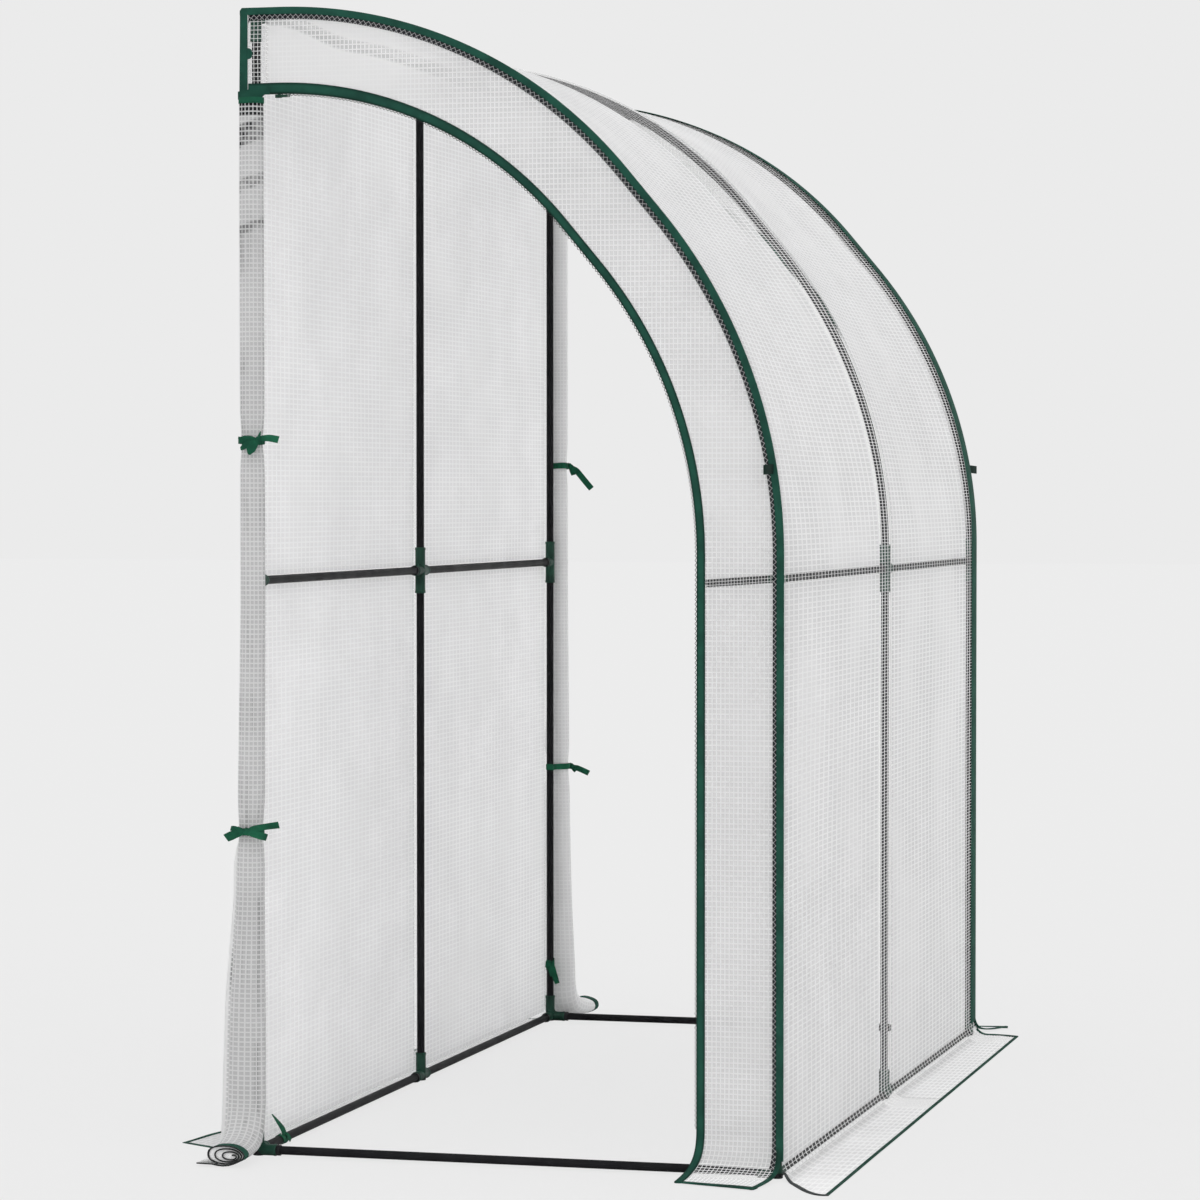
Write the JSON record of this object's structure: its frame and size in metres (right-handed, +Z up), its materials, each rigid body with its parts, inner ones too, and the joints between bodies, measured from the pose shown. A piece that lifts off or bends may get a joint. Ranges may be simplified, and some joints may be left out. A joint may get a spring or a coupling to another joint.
{
  "type": "lean-to greenhouse",
  "caption": "Walk-in lean-to greenhouse for a house wall: tube hoops under a reinforced sheet with a curved roof, ground flaps and rolled-up doors at both ends.",
  "frame": {"origin": "on the ground under the middle wall post, at the centre of its foot's flat underside", "axes": "+X away from the house wall, +Y along the wall from the near doorway to the far one, +Z up"},
  "size_m": [1.2906, 2.3, 2.1316],
  "materials": {
    "tube_steel": "satin black powder coat",
    "connector_plastic": "dark green moulded",
    "cover_sheet": "white translucent sheet with a reinforcing grid",
    "green_tape": "woven edge tape",
    "green_ribbon": "woven ribbon",
    "zip_plastic": "dark moulded"
  },
  "bodies": {
    "frame": {"arch_lower_far": "tube_steel", "arch_lower_mid": "tube_steel", "arch_lower_near": "tube_steel", "arch_upper_far": "tube_steel", "arch_upper_mid": "tube_steel", "arch_upper_near": "tube_steel", "back_wall_sheet": "cover_sheet", "door_roll_far": "cover_sheet", "door_roll_near": "cover_sheet", "door_sill_far": "tube_steel", "door_sill_near": "tube_steel", "door_tie_lower_far": "green_ribbon", "door_tie_lower_near": "green_ribbon", "door_tie_upper_far": "green_ribbon", "door_tie_upper_near": "green_ribbon", "end_frame_sheet_far": "cover_sheet", "end_frame_sheet_near": "cover_sheet", "front_foot_far": "connector_plastic", "front_foot_mid": "connector_plastic", "front_foot_near": "connector_plastic", "front_ground_rail_far": "tube_steel", "front_ground_rail_near": "tube_steel", "front_joint_far": "connector_plastic", "front_joint_mid": "connector_plastic", "front_joint_near": "connector_plastic", "front_mid_rail_far": "tube_steel", "front_mid_rail_near": "tube_steel", "front_post_far": "tube_steel", "front_post_mid": "tube_steel", "front_post_near": "tube_steel", "front_roof_sheet": "cover_sheet", "hoop_binding_far": "green_tape", "hoop_binding_near": "green_tape", "opening_binding_far": "green_tape", "opening_binding_near": "green_tape", "ridge_joint_far": "connector_plastic", "ridge_joint_mid": "connector_plastic", "ridge_joint_near": "connector_plastic", "ridge_rail_far": "tube_steel", "ridge_rail_near": "tube_steel", "wall_foot_far": "connector_plastic", "wall_foot_mid": "connector_plastic", "wall_foot_near": "connector_plastic", "wall_ground_rail_far": "tube_steel", "wall_ground_rail_near": "tube_steel", "wall_joint_far": "connector_plastic", "wall_joint_mid": "connector_plastic", "wall_joint_near": "connector_plastic", "wall_mid_rail_far": "tube_steel", "wall_mid_rail_near": "tube_steel", "wall_post_lower_far": "tube_steel", "wall_post_lower_mid": "tube_steel", "wall_post_lower_near": "tube_steel", "wall_post_upper_far": "tube_steel", "wall_post_upper_mid": "tube_steel", "wall_post_upper_near": "tube_steel"},
    "slider_near": {"zip_slider_near": "zip_plastic"},
    "pull_near": {"zip_pull_near": "zip_plastic"},
    "slider_far": {"zip_slider_far": "zip_plastic"},
    "pull_far": {"zip_pull_far": "zip_plastic"}
  },
  "joints": [
    {"name": "zip_near", "type": "hinge", "parent": "frame", "child": "slider_near", "pos_m": [0.048, -1.012, 1.26527], "axis": [0, 1, 0], "range_deg": [0, 46]},
    {"name": "zip_pull_near", "type": "hinge", "parent": "slider_near", "child": "pull_near", "pos_m": [0.048, -1.0158, 1.9673], "axis": [0, 0, -1], "range_deg": [0, 120]},
    {"name": "zip_far", "type": "hinge", "parent": "frame", "child": "slider_far", "pos_m": [0.048, 1.012, 1.26527], "axis": [0, 1, 0], "range_deg": [0, 46]},
    {"name": "zip_pull_far", "type": "hinge", "parent": "slider_far", "child": "pull_far", "pos_m": [0.048, 1.0158, 1.9673], "axis": [0, 0, 1], "range_deg": [0, 120]}
  ]
}
